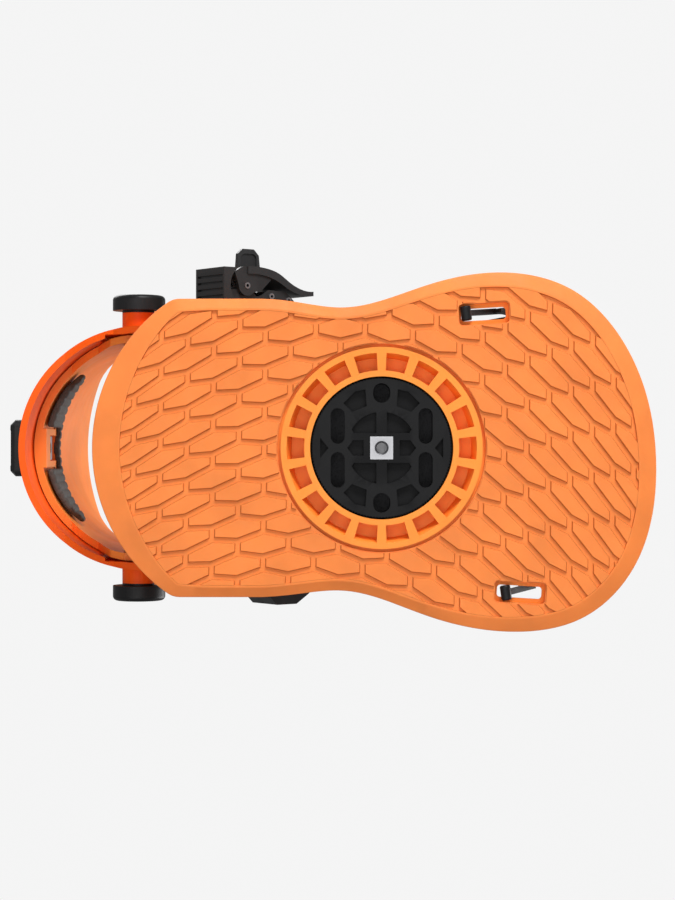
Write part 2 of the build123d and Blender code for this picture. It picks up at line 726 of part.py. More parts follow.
def buckle_frame(seat, size):
    """Floor, side plates and the louvred housing in front of the lever."""
    with BuildPart() as frame:
        with BuildSketch(seat):
            with Locations(((FLOOR_START + FLOOR_END) / 2 * size, (FLOOR_OUTER + FLOOR_INNER) / 2 * size)):
                Rectangle((FLOOR_END - FLOOR_START) * size, (FLOOR_INNER - FLOOR_OUTER) * size)
        extrude(amount=PLATE_FACES[1] * size, both=True)
        for plane, depth in across_buckle(seat, size, PLATE_FACES):
            with BuildSketch(plane):
                with BuildLine():
                    Polyline(*scaled(SIDE_PLATE, size), close=True)
                make_face()
                Circle(4.3 * size)
                Circle(PIN_RADIUS * size, mode=Mode.SUBTRACT)
                with Locations((RELEASE_SPOT[0] * size, RELEASE_SPOT[1] * size)):
                    Circle((PIN_RADIUS + PIN_FIT) * size, mode=Mode.SUBTRACT)
                with Locations((GUIDE_SPOT[0] * size, GUIDE_SPOT[1] * size)):
                    Circle(PIN_RADIUS * size, mode=Mode.SUBTRACT)
            extrude(amount=depth)
        with BuildSketch(seat):
            with Locations((-9.5 * size, -0.7 * size)):
                Rectangle(8 * size, 15.6 * size)
            Circle(9.8 * size, mode=Mode.SUBTRACT)
        extrude(amount=12 * size, both=True)
        with BuildSketch(seat):  # louvres across the housing's outer end
            with Locations(*[(-13.5 * size, y * size) for y in (-4.4, -1.2, 2.0, 5.2)]):
                Rectangle(2.2 * size, 1.1 * size)
        extrude(amount=10.6 * size, both=True, mode=Mode.SUBTRACT)
        add(screw_bores(seat, size, 1.4), mode=Mode.SUBTRACT)
        with BuildSketch(screw_plane(seat, size, FLOOR_OUTER - 0.1)):
            with Locations(*[(x * size, 0) for x in BUCKLE_SCREWS]):
                Circle(2.8 * size)
        extrude(amount=0.9 * size, mode=Mode.SUBTRACT)
    return frame


def buckle_lever(seat, size):
    """The curved back with its tail, and two pairs of cheeks that turn on the pin."""
    outer = [(0, -HUB_REACH), (10.9, -8.7), (18.7, -6.4), (24.5, -2.8), (31.2, 0.3), (39.3, 1.2)]
    inner = [(39.3, 3.4), (31, 3.1), (24, 0.7), (18, -2.6), (11, -4.9), (0, -5.6)]
    with BuildPart() as lever:
        with BuildSketch(seat):
            with BuildLine():
                Spline(*[(x * size, y * size) for x, y in outer])
                Line((outer[-1][0] * size, outer[-1][1] * size), (inner[0][0] * size, inner[0][1] * size))
                Spline(*[(x * size, y * size) for x, y in inner])
                Line((0, inner[-1][1] * size), (0, outer[0][1] * size))
            make_face()
        extrude(amount=LEVER_HALF_WIDTH * size, both=True)
        for faces in (WEB_FACES, CHEEK_FACES):
            for plane, depth in across_buckle(seat, size, faces):
                with BuildSketch(plane):
                    with BuildLine():
                        reach = HUB_REACH * size
                        turns = [radians(angle) for angle in (-140, -115, -90)]
                        start, middle, top = [(reach * cos(t), reach * sin(t)) for t in turns]
                        ThreePointArc(start, middle, top)
                        Polyline(
                            top,
                            (11 * size, -7.6 * size),
                            (16 * size, -5 * size),
                            (9 * size, 1.5 * size),
                            (2 * size, 4 * size),
                            (-4 * size, 2.5 * size),
                            start,
                        )
                    make_face()
                    Circle(HUB_CIRCLE * size)
                    if faces == WEB_FACES:
                        with Locations((PAWL_SPOT[0] * size, PAWL_SPOT[1] * size)):
                            Circle(2.2 * size)
                            Circle(PAWL_PIN_RADIUS * size, mode=Mode.SUBTRACT)
                    Circle((PIN_RADIUS + PIN_FIT) * size, mode=Mode.SUBTRACT)
                extrude(amount=depth)
    return lever


def rod(seat, size, spot, radius, low, high, bore=0.0):
    """A pin across the buckle at spot, hollow where bore is given."""
    with BuildPart() as pin:
        with BuildSketch(seat.offset(low * size)):
            with Locations((spot[0] * size, spot[1] * size)):
                Circle(radius * size)
                if bore:
                    Circle(bore * size, mode=Mode.SUBTRACT)
        extrude(amount=(high - low) * size)
    return pin


def coil(seat, size, spot, bore, low, high, both_sides=False):
    """A close-wound torsion spring on a pin, drawn as touching turns."""
    wire = 0.7
    turns = max(int((high - low) / wire), 1)
    pitch = (high - low) / turns
    with BuildPart() as spring:
        for side in (1, -1) if both_sides else (1,):
            for turn in range(turns):
                start = side * (low + pitch * turn)
                for shift, thick, radius in ((0, pitch, bore + 0.5), (0.15, pitch - 0.3, bore + 0.75)):
                    plane = seat.offset((start + side * shift) * size)
                    with BuildSketch(plane):
                        with Locations((spot[0] * size, spot[1] * size)):
                            Circle(radius * size)
                            Circle(bore * size, mode=Mode.SUBTRACT)
                    extrude(amount=side * thick * size)
    return spring


def drive_pawl(seat, size):
    """The pawl that the lever drives into the ladder."""
    with BuildPart() as pawl:
        with BuildSketch(seat):
            with BuildLine():
                Polyline(*scaled(DRIVE_PAWL, size), close=True)
            make_face()
            with Locations((PAWL_SPOT[0] * size, PAWL_SPOT[1] * size)):
                Circle(1.9 * size)
                Circle((PAWL_PIN_RADIUS + PIN_FIT) * size, mode=Mode.SUBTRACT)
            Circle(3.1 * size, mode=Mode.SUBTRACT)
        extrude(amount=5.8 * size, both=True)
    return pawl


def lock_pawl(seat, size):
    """The pawl that holds the ladder between strokes."""
    with BuildPart() as pawl:
        with BuildSketch(seat):
            with BuildLine():
                Polyline(*scaled(LOCK_PAWL, size), close=True)
            make_face()
            with Locations((RELEASE_SPOT[0] * size, RELEASE_SPOT[1] * size)):
                Circle(2.7 * size)
                Circle(PIN_RADIUS * size, mode=Mode.SUBTRACT)
        extrude(amount=5.6 * size, both=True)
    return pawl


def release_tab(seat, size):
    """The thumb tab beside the lever, fixed on the lock pawl's pin."""
    with BuildPart() as tab:
        with BuildSketch(seat.offset(TAB_FACES[0] * size)):
            with BuildLine():
                Polyline(*scaled(THUMB_TAB, size), close=True)
            make_face()
            with Locations((RELEASE_SPOT[0] * size, RELEASE_SPOT[1] * size)):
                Circle(PIN_RADIUS * size, mode=Mode.SUBTRACT)
        extrude(amount=(TAB_FACES[1] - TAB_FACES[0]) * size)
        fillet(tab.edges().filter_by(Axis(seat.origin, seat.z_dir)), 1.1 * size)
        with BuildSketch(seat.offset(TAB_FACES[0] * size)):  # a dished face
            with Locations((18.8 * size, -12.4 * size)):
                RectangleRounded(9.4 * size, 11.5 * size, 2.5 * size)
        extrude(amount=0.6 * size, mode=Mode.SUBTRACT)
    return tab


def buckle_screws(seat, size, shank=3.0):
    """Two screws that hold the buckle's floor, or a tongue, to the shell."""
    with BuildPart() as screws:
        for depth, length, radius in ((FLOOR_OUTER, 0.8, 2.6), (FLOOR_OUTER + 0.8, shank, 1.4)):
            with BuildSketch(screw_plane(seat, size, depth)):
                with Locations(*[(x * size, 0) for x in BUCKLE_SCREWS]):
                    Circle(radius * size)
            extrude(amount=length * size)
        with BuildSketch(screw_plane(seat, size, FLOOR_OUTER)):
            with Locations(*[(x * size, 0) for x in BUCKLE_SCREWS]):
                Rectangle(3.4 * size, 0.8 * size)
                Rectangle(0.8 * size, 3.4 * size)
        extrude(amount=0.5 * size, mode=Mode.SUBTRACT)
    return screws


def ratchet(name, seat, size):
    """Write every piece of one ratchet buckle."""
    save(buckle_frame(seat, size), f"{name}_buckle_frame")
    save(buckle_lever(seat, size), f"{name}_lever")
    save(rod(seat, size, (0, 0), PIN_RADIUS, -12.3, 12.3, bore=0.8), f"{name}_main_pin")
    save(drive_pawl(seat, size), f"{name}_drive_pawl")
    save(rod(seat, size, PAWL_SPOT, PAWL_PIN_RADIUS, -8.1, 8.1), f"{name}_drive_pawl_pin")
    save(coil(seat, size, (0, 0), PIN_RADIUS + 0.15, -5.6, 5.6), f"{name}_drive_spring")
    save(lock_pawl(seat, size), f"{name}_lock_pawl")
    save(release_tab(seat, size), f"{name}_release_tab")
    save(rod(seat, size, RELEASE_SPOT, PIN_RADIUS, -10.5, TAB_FACES[1], bore=0.7), f"{name}_release_pin")
    save(coil(seat, size, RELEASE_SPOT, PIN_RADIUS + 0.1, 5.9, 8.1, True), f"{name}_release_springs")
    save(rod(seat, size, GUIDE_SPOT, PIN_RADIUS, -10.5, 10.5, bore=0.8), f"{name}_guide_pin")
    save(buckle_screws(seat, size), f"{name}_buckle_screws")


def ladder_teeth(seat, size, first, last):
    """Saw teeth on the outer face of a ladder, between first and last along the buckle."""
    with BuildPart() as teeth:
        with BuildSketch(seat):
            count = int((last - first) / TOOTH_PITCH)
            for index in range(count):
                x = first + index * TOOTH_PITCH
                with BuildLine():
                    Polyline(
                        (x * size, (LADDER_OUTER + 0.2) * size),
                        (x * size, LADDER_OUTER * size),
                        ((x + 2.0) * size, (LADDER_OUTER - TOOTH_HEIGHT) * size),
                        ((x + 2.4) * size, (LADDER_OUTER - TOOTH_HEIGHT) * size),
                        ((x + 2.6) * size, (LADDER_OUTER + 0.2) * size),
                        close=True,
                    )
                make_face()
        extrude(amount=5.6 * size, both=True)
    return teeth.part


def seat_on(strap, arch, corner, along, depth, medial=False):
    """A plane depth outside the shell's outer face, on the straight run after the given corner."""
    (x0, y0), (x1, y1) = arch[corner], arch[corner + 1]
    length = hypot(x1 - x0, y1 - y0)
    run = ((x1 - x0) / length, (y1 - y0) / length)
    x, y = x0 + run[0] * along + run[1] * depth, y0 + run[1] * along - run[0] * depth
    side = -1 if medial else 1
    return Plane(
        origin=strap.from_local_coords((x, y * side, 0)),
        x_dir=strap.x_dir * run[0] + strap.y_dir * (run[1] * side),
        z_dir=strap.z_dir * side,
    )


def partway(points, share):
    """The first points of a line, its last run cut short to share of its length."""
    (x0, y0), (x1, y1) = points[-2:]
    return points[:-1] + [(x0 + (x1 - x0) * share, y0 + (y1 - y0) * share)]


def mirrored(points):
    """The same line on the medial side."""
    return [(x, -y) for x, y in points]


FLOOR_LIFT = 0.2
ankle_seat = seat_on(ankle, ANKLE_ARCH, 0, 11, FLOOR_LIFT + FLOOR_INNER)
TOE_SCALE = 0.85
toe_seat = seat_on(toe, TOE_ARCH, 1, 21.2, FLOOR_LIFT + FLOOR_INNER * TOE_SCALE)


def ladder_lift(size):
    """How far the ladder's middle runs outside the shell's outer face."""
    return FLOOR_LIFT + (FLOOR_INNER - LADDER_OUTER) * size - LADDER_THICK * size / 2


# ---- ankle strap --------------------------------------------------------------------------------------
EYE_Y = wall_outer + 0.3
EYE_THICK = 2.0
EYE_RADIUS = 8.5


def eye(side):
    """The round end of an ankle strip on its anchor bolt; side is -1 lateral or 1 medial."""
    with BuildPart() as disc:
        with BuildSketch(Plane.XZ.offset(EYE_Y)):
            with Locations(ANKLE_ANCHOR):
                Circle(EYE_RADIUS)
        extrude(amount=EYE_THICK)
        if side > 0:
            mirror(about=Plane.XZ, mode=Mode.REPLACE)
    return disc.part


eye_line = EYE_Y + EYE_THICK / 2
anchor_bore = cross_hole(*ANKLE_ANCHOR, 3.0, 50, 75)

outer_run = partway(inward(ANKLE_ARCH[:3], -ladder_lift(1)), 0.5)
ladder_line = [(0, -eye_line), (8, -eye_line), (14, outer_run[0][1])] + outer_run[1:]
with BuildPart() as ankle_ladder:
    add(eye(-1))
    add(band(ankle, ladder_line, [4, 4, ANKLE_BEND + ladder_lift(1)], LADDER_THICK, LADDER_HALF_WIDTH))
    add(ladder_teeth(ankle_seat, 1, -8, 36))
    add(anchor_bore, mode=Mode.SUBTRACT)
save(ankle_ladder, "ankle_ladder")

outer_run = partway(inward(ANKLE_ARCH[:3], -1.5), 0.45)
tongue_line = [(0, -eye_line), (8, -eye_line), (17, outer_run[0][1])] + outer_run[1:]
with BuildPart() as ankle_tongue:
    add(eye(1))
    add(band(ankle, mirrored(tongue_line), [6, 6, ANKLE_BEND + 1.5], 2.0, LADDER_HALF_WIDTH))
    add(anchor_bore, mode=Mode.SUBTRACT)
save(ankle_tongue, "ankle_tongue")

adjuster_seat = seat_on(ankle, ANKLE_ARCH, 0, 38, 2.6, medial=True)
with BuildPart() as ankle_adjuster:
    with BuildSketch(adjuster_seat):
        with BuildLine():
            Polyline((-12, 0), (-12, -4.5), (-8, -8.5), (4, -8.5), (12, -3.5), (12, 0), close=True)
        make_face()
    extrude(amount=10, both=True)
    fillet(ankle_adjuster.edges().filter_by(Axis(ankle.origin, ankle.z_dir)), 1.2)
save(ankle_adjuster, "ankle_tongue_adjuster")

with BuildPart() as ankle_shell:
    add(band(ankle, inward(ANKLE_ARCH, SHELL_THICK / 2), ANKLE_BEND - SHELL_THICK / 2, SHELL_THICK, 17))
    top = Plane(origin=ankle.from_local_coords((100, 0, 0)), x_dir=ankle.y_dir, z_dir=ankle.x_dir)
    with BuildSketch(top):
        with Locations((0, 9.5), (0, 0), (0, -9.5)):
            SlotOverall(34, 4.6)
    extrude(amount=30, mode=Mode.SUBTRACT)
    add(screw_bores(ankle_seat, 1, 1.4), mode=Mode.SUBTRACT)
save(ankle_shell, "ankle_strap_shell")

inset = SHELL_THICK + GAP + STRAP_PAD_THICK / 2
soft = inward([(33, -65.2)] + ANKLE_ARCH[1:-1] + [(33, 65.2)], inset)
with BuildPart() as ankle_pad:
    add(band(ankle, soft, ANKLE_BEND - inset, STRAP_PAD_THICK, 24))
save(ankle_pad, "ankle_strap_pad")

save(bolts([ANKLE_ANCHOR], EYE_Y + EYE_THICK + 0.1, 5.6, 2.3), "ankle_anchor_bolts")
save(inner_nuts([ANKLE_ANCHOR]), "ankle_anchor_nuts")
ratchet("ankle", ankle_seat, 1.0)

# ---- toe strap ----------------------------------------------------------------------------------------
BAR_RADIUS = 2.4
BAR_LENGTH = 6.8
NECK_END = 22.0


def t_bar(line_y):
    """The T-bar and neck at the end of a toe strip whose middle line is at line_y."""
    ends = Plane(
        origin=toe.from_local_coords((0, line_y - BAR_LENGTH / 2, 0)), x_dir=toe.x_dir, z_dir=toe.y_dir
    )
    with BuildPart() as bar:
        with BuildSketch(ends):
            Circle(BAR_RADIUS)
        extrude(amount=BAR_LENGTH)
        fillet(bar.edges().filter_by(GeomType.CIRCLE), 0.8)
        with BuildSketch(toe):
            with Locations((NECK_END / 2, line_y)):
                Rectangle(NECK_END, 2.4)
        extrude(amount=2.2, both=True)
    return bar.part


lift = ladder_lift(TOE_SCALE)
run = inward([(20, TOE_ARCH[0][1])] + TOE_ARCH[1:3], -lift)
with BuildPart() as toe_ladder:
    add(t_bar(run[0][1]))
    add(band(toe, partway(run, 0.9), TOE_BEND + lift, LADDER_THICK * TOE_SCALE, 6.1))
    add(ladder_teeth(toe_seat, TOE_SCALE, -8, 31))
save(toe_ladder, "toe_ladder")

run = inward([(20, TOE_ARCH[0][1])] + TOE_ARCH[1:3], -1.4)
toe_screw_seat = seat_on(toe, TOE_ARCH, 1, 16, 12.35, medial=True)
with BuildPart() as toe_tongue:
    add(t_bar(0.6 - run[0][1]))
    add(band(toe, mirrored(partway(run, 0.65)), TOE_BEND + 1.4, 1.8, 6.1))
    add(screw_bores(toe_screw_seat, TOE_SCALE, 1.4), mode=Mode.SUBTRACT)
save(toe_tongue, "toe_tongue")
save(buckle_screws(toe_screw_seat, TOE_SCALE, shank=5.0), "toe_tongue_screws")

with BuildPart() as toe_shell:
    add(band(toe, inward(TOE_ARCH, SHELL_THICK / 2), TOE_BEND - SHELL_THICK / 2, SHELL_THICK, 12))
    top = Plane(origin=toe.from_local_coords((70, 0, 0)), x_dir=toe.y_dir, z_dir=toe.x_dir)
    with BuildSketch(top):
        with Locations((0, 5.5), (0, -5.5)):
            SlotOverall(26, 4.4)
    extrude(amount=30, mode=Mode.SUBTRACT)
    for seat in (toe_seat, toe_screw_seat):
        add(screw_bores(seat, TOE_SCALE, 1.4), mode=Mode.SUBTRACT)
save(toe_shell, "toe_strap_shell")

inset = SHELL_THICK + GAP + STRAP_PAD_THICK / 2
with BuildPart() as toe_pad:
    add(band(toe, inward(TOE_ARCH, inset), TOE_BEND - inset, STRAP_PAD_THICK, 17))
save(toe_pad, "toe_strap_pad")
ratchet("toe", toe_seat, TOE_SCALE)
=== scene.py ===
import json
from math import atan2, cos, hypot, pi, radians, sin, sqrt

import bmesh
import bpy
import numpy as np
from mathutils import Matrix, Vector


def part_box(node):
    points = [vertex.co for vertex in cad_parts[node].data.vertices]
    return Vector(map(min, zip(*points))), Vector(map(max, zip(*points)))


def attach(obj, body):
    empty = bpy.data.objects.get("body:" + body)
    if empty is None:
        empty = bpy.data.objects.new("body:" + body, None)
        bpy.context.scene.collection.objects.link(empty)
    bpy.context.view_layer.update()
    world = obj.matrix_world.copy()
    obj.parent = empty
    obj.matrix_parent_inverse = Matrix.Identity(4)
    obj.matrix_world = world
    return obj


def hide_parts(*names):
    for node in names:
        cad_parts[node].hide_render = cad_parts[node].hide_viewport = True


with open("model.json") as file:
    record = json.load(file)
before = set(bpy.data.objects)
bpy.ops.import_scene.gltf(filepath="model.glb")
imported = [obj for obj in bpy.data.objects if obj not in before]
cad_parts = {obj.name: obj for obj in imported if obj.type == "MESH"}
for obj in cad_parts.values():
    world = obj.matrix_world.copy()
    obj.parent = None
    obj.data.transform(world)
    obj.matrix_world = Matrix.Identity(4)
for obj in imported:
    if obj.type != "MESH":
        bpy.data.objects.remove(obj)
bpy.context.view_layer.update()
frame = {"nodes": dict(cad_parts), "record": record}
scene = bpy.context.scene
nodes = frame["nodes"]
MM = 0.001

# Sizes that repeat the CAD's, in millimetres and degrees
PAD_TOP = 4.0  # thickness of the sole pad
PIVOT_X = -115.0  # axis of the highback
SHELL_THICK, SHELL_GAP, STRAP_PAD_THICK = 2.2, 0.3, 4.4
PAD_INSET = SHELL_THICK + SHELL_GAP + STRAP_PAD_THICK / 2  # from a shell's outer face to the pad's middle
ANKLE_ANCHOR, ANKLE_RISE, ANKLE_BEND, ANKLE_PAD_HALF = (-92, 0, 46), 38, 40, 24
ANKLE_ARCH = [(33, -65.2), (84, -65.2), (120, -24), (120, 24), (84, 65.2), (33, 65.2)]
LATERAL_BAR, MEDIAL_BAR, BAR_Z = (38.6, -60.5), (56.6, 65.8), 2.7
TOE_RISE, TOE_BEND, TOE_PAD_HALF = 52, 24, 17
TOE_ARCH = [(34, -62), (46, -62), (88, -20), (88, 20), (46, 62), (34, 62)]
TOE_BED_X, TOE_BED_Z = (40, 48, 104, 130), (16, 18, 26, 26)  # the toe footbed's ramp

# Detail that the CAD leaves out, in millimetres
CHANNEL = 1.1  # depth of the tread's grooves
TREAD_GROOVES = (3.0, 1.6)  # their width at the blocks' faces and at the foot of the blocks
TILE_GROOVES = (0.8, 1.2)  # the footbeds' grooves, at the foot and at the faces
BLOCK_FOOT = 1.6  # the tread's blocks reach this far into the pad
TILE_FOOT = 1.2  # and the footbeds' tiles this far
FOOTBED_RIM = [(0.0, 2.6), (0.3, 1.6), (1.0, 0.8), (2.0, 0.35), (3.2, 0.2), (3.8, 0.6)]  # inset and drop


# ---- camera, light and surroundings ----------------------------------------------------------------------
camera_data = bpy.data.cameras.new("camera")
camera_data.lens = 83.6
camera_data.sensor_width = 36
camera = bpy.data.objects.new("camera", camera_data)
camera.location = (-0.0201, 0.00095, -0.95)
camera.rotation_euler = (pi, 0, 0)
scene.collection.objects.link(camera)
scene.camera = camera
scene.view_settings.view_transform = "Standard"


def lamp(name, place, size, power, spot=(0, 0, 0.03)):
    """A round soft light at place that shines towards spot."""
    light = bpy.data.lights.new(name, "AREA")
    light.shape = "DISK"
    light.size = size
    light.energy = power
    obj = bpy.data.objects.new(name, light)
    obj.location = place
    obj.rotation_euler = (Vector(spot) - obj.location).to_track_quat("-Z", "Y").to_euler()
    scene.collection.objects.link(obj)


lamp("key_below", (0.3, -1.2, -0.75), 0.6, 22)
lamp("fill_below", (-0.35, 0.5, -1.3), 1.4, 5)
lamp("front_below", (0.05, -0.1, -1.6), 1.6, 6)
lamp("key_above", (-0.7, -0.9, 1.3), 0.9, 12, (0, 0, 0.08))
lamp("fill_above", (1.0, 0.25, 0.8), 1.0, 15, (-0.12, 0, 0.1))

WORLD_LIGHT, WORLD_SEEN = 0.32, 0.91  # strength of the surroundings as light, and as the camera sees them
world = bpy.data.worlds.new("studio")
scene.world = world
world.use_nodes = True
tree = world.node_tree
surroundings = tree.nodes["Background"]
surroundings.inputs["Color"].default_value = (1, 1, 1, 1)
ray = tree.nodes.new("ShaderNodeLightPath")
level = tree.nodes.new("ShaderNodeMapRange")
level.inputs["To Min"].default_value = WORLD_LIGHT
level.inputs["To Max"].default_value = WORLD_SEEN
tree.links.new(ray.outputs["Is Camera Ray"], level.inputs["Value"])
tree.links.new(level.outputs["Result"], surroundings.inputs["Strength"])


# ---- materials -------------------------------------------------------------------------------------------
class Nodes:
    """A material's node tree, with short calls that add a node and link its inputs."""

    def __init__(self, name):
        self.material = bpy.data.materials.new(name)
        self.material.use_nodes = True
        self.tree = self.material.node_tree
        self.shader = self.tree.nodes["Principled BSDF"]
        spots = self.tree.nodes.new("ShaderNodeTexCoord")
        self.coords = spots.outputs["Object"]
        self.normals = spots.outputs["Normal"]

    def add(self, kind, settings=None, **inputs):
        """A new node; an input's name has _ for a space."""
        node = self.tree.nodes.new("ShaderNode" + kind)
        for key, value in (settings or {}).items():
            setattr(node, key, value)
        for key, value in inputs.items():
            self.put(node.inputs[key.replace("_", " ")], value)
        return node

    def put(self, socket, value):
        """Links an output to the socket, or sets its value."""
        if isinstance(value, bpy.types.NodeSocket):
            self.tree.links.new(value, socket)
        else:
            socket.default_value = value

    def math(self, operation, a, b=None):
        """The result of a Math node."""
        node = self.add("Math", {"operation": operation})
        self.put(node.inputs[0], a)
        if b is not None:
            self.put(node.inputs[1], b)
        return node.outputs[0]

    def noise(self, scale, detail=2.0, vector=None, rough=0.5):
        """Noise from 0 to 1 with about scale waves to the metre."""
        node = self.add("TexNoise", Scale=scale, Detail=detail, Roughness=rough)
        self.put(node.inputs["Vector"], vector or self.coords)
        return node.outputs["Fac"]

    def ramp(self, value, low, high, out_low=0.0, out_high=1.0):
        """value mapped so that low gives out_low and high gives out_high, clamped."""
        ends = {"From_Min": low, "From_Max": high, "To_Min": out_low, "To_Max": out_high}
        return self.add("MapRange", Value=value, **ends).outputs["Result"]

    def blend(self, factor, a, b):
        """Colour a where factor is 0 and colour b where it is 1."""
        node = self.add("Mix", {"data_type": "RGBA"})
        self.put(node.inputs[0], factor)
        self.put(node.inputs[6], a)
        self.put(node.inputs[7], b)
        return node.outputs[2]

    def bump(self, height, distance, strength=1.0, below=None):
        """A normal bumped by height times distance, in metres, on top of the normal below."""
        node = self.add("Bump", Strength=strength, Distance=distance)
        self.put(node.inputs["Height"], height)
        if below:
            self.put(node.inputs["Normal"], below)
        return node.outputs["Normal"]

    def worn_edge(self):
        """1 along sharp outer edges, 0 on faces."""
        point = self.add("NewGeometry").outputs["Pointiness"]
        return self.ramp(point, 0.515, 0.56)


def rgba(colour, gain=1.0):
    """An 8-bit display colour as the shader's linear colour, times gain."""
    linear = [((c / 255 + 0.055) / 1.055) ** 2.4 if c > 10 else c / 255 / 12.92 for c in colour]
    return tuple(min(1.0, c * gain) for c in linear) + (1.0,)


def moulded(name, colour, rough, grain=3200, depth=0.00002, soft=0.0, edge=0.12, shine=0.34, groove=0.0):
    """
    Moulded plastic: faint cloudy colour, scuffs, fine spark-eroded grain and slightly polished edges.
    grain is the bumps to the metre and depth their height, soft the share of light that scatters under
    the surface, edge the polish along edges, shine the specular level, and groove the strength of the
    painted shade that darkens the steep walls low on the sole, as if the tread's grooves lay in shadow.
    """
    m = Nodes(name)
    base = rgba(colour)
    dark = rgba(colour, 0.86)
    light = tuple(min(1.0, c * 1.1 + 0.012) for c in base[:3]) + (1.0,)
    cloudy = m.ramp(m.noise(38, 4), 0.35, 0.65)
    tone = m.blend(cloudy, dark, base)
    scuffs = m.ramp(m.noise(260, 6, rough=0.7), 0.62, 0.72, 0, 0.25)
    tone = m.blend(scuffs, tone, light)
    tone = m.blend(m.ramp(m.worn_edge(), 0, 1, 0, edge * 3), tone, light)
    # painted shade: the steep walls low on the sole are drawn darker, standing in for the shadow in the
    # tread's grooves
    if groove:
        steep = m.ramp(m.add("SeparateXYZ", Vector=m.normals).outputs["Z"], -0.85, -0.55)
        low = m.ramp(m.add("SeparateXYZ", Vector=m.coords).outputs["Z"], 1.2 * MM, 1.4 * MM, groove, 0)
        tone = m.blend(m.math("MULTIPLY", steep, low), tone, rgba(colour, 0.55))
    m.put(m.shader.inputs["Base Color"], tone)
    gloss = m.ramp(m.noise(120, 5), 0.3, 0.7, rough - 0.06, rough + 0.08)
    m.put(m.shader.inputs["Roughness"], gloss)
    coarse = m.bump(m.noise(grain * 0.3, 3), depth * 2.5, 0.5)
    m.put(m.shader.inputs["Normal"], m.bump(m.noise(grain, 2), depth, 0.8, coarse))
    m.shader.inputs["Specular IOR Level"].default_value = shine
    if soft:
        m.shader.inputs["Subsurface Weight"].default_value = soft
        m.shader.inputs["Subsurface Radius"].default_value = (0.9, 0.35, 0.15)
        m.shader.inputs["Subsurface Scale"].default_value = 0.002
    return m.material


def metal(name, colour, rough, oxide=0.0):
    """Turned or pressed steel with fine brushing and small pits; oxide is its dull share."""
    m = Nodes(name)
    base = rgba(colour)
    stretched = m.add("Mapping", Vector=m.coords)
    stretched.inputs["Scale"].default_value = (1, 1, 14)
    brushed = m.noise(900, 3, stretched.outputs["Vector"])
    pits = m.ramp(m.noise(1500, 5), 0.6, 0.7)
    tone = m.blend(m.ramp(brushed, 0.3, 0.7), rgba(colour, 0.75), base)
    tone = m.blend(m.ramp(pits, 0, 1, 0, 0.5), tone, rgba(colour, 0.45))
    bright = tuple(min(1.0, c * 1.3 + 0.1) for c in base[:3]) + (1.0,)
    m.put(m.shader.inputs["Base Color"], m.blend(m.ramp(m.worn_edge(), 0, 1, 0, 0.7), tone, bright))
    m.put(m.shader.inputs["Roughness"], m.ramp(brushed, 0.2, 0.8, rough - 0.08, rough + 0.12))
    m.put(m.shader.inputs["Normal"], m.bump(brushed, 0.00001, 0.6))
    m.shader.inputs["Metallic"].default_value = 1.0 - oxide
    return m.material


def woven(name, colour, rough=0.85, pitch=1.1 * MM):
    """Plain-woven cover cloth: two crossed sets of yarns, pitch apart, with a slight fuzz."""
    m = Nodes(name)
    apart = m.add("SeparateXYZ", Vector=m.coords)
    upright = m.math("ADD", apart.outputs["X"], apart.outputs["Z"])
    yarns = []
    for source in (upright, apart.outputs["Y"]):
        wave = m.math("SINE", m.math("MULTIPLY", source, 2 * pi / pitch))
        yarns.append(m.ramp(wave, -1, 1))
    weave = m.math("MULTIPLY", *yarns)
    fuzz = m.noise(2600, 3)
    tone = m.blend(weave, rgba(colour, 0.55), rgba(colour, 1.25))
    tone = m.blend(m.ramp(m.noise(45, 4), 0.35, 0.65, 0, 0.35), tone, rgba(colour, 0.7))
    m.put(m.shader.inputs["Base Color"], tone)
    m.put(m.shader.inputs["Roughness"], m.ramp(fuzz, 0.3, 0.7, rough - 0.08, rough + 0.08))
    fine = m.bump(weave, 0.00016, 0.7)
    m.put(m.shader.inputs["Normal"], m.bump(fuzz, 0.00006, 0.5, fine))
    m.shader.inputs["Sheen Weight"].default_value = 0.35
    m.shader.inputs["Sheen Roughness"].default_value = 0.5
    m.shader.inputs["Specular IOR Level"].default_value = 0.25
    return m.material


def foam(name, colour, rough=0.8, pore=900):
    """Moulded foam skin with a soft mottle and small pores, pore of them to the metre."""
    m = Nodes(name)
    pores = m.add("TexVoronoi", {"feature": "F1"}, Scale=pore)
    m.put(pores.inputs["Vector"], m.coords)
    dots = m.ramp(pores.outputs["Distance"], 0.1, 0.5)
    mottle = m.ramp(m.noise(60, 5), 0.35, 0.65)
    tone = m.blend(mottle, rgba(colour, 0.8), rgba(colour, 1.1))
    m.put(m.shader.inputs["Base Color"], m.blend(dots, rgba(colour, 0.65), tone))
    m.put(m.shader.inputs["Roughness"], m.ramp(m.noise(400, 3), 0.3, 0.7, rough - 0.07, rough + 0.07))
    m.put(m.shader.inputs["Normal"], m.bump(dots, 0.00008, 0.7, m.bump(m.noise(220, 4), 0.0003, 0.4)))
    m.shader.inputs["Specular IOR Level"].default_value = 0.3
    return m.material


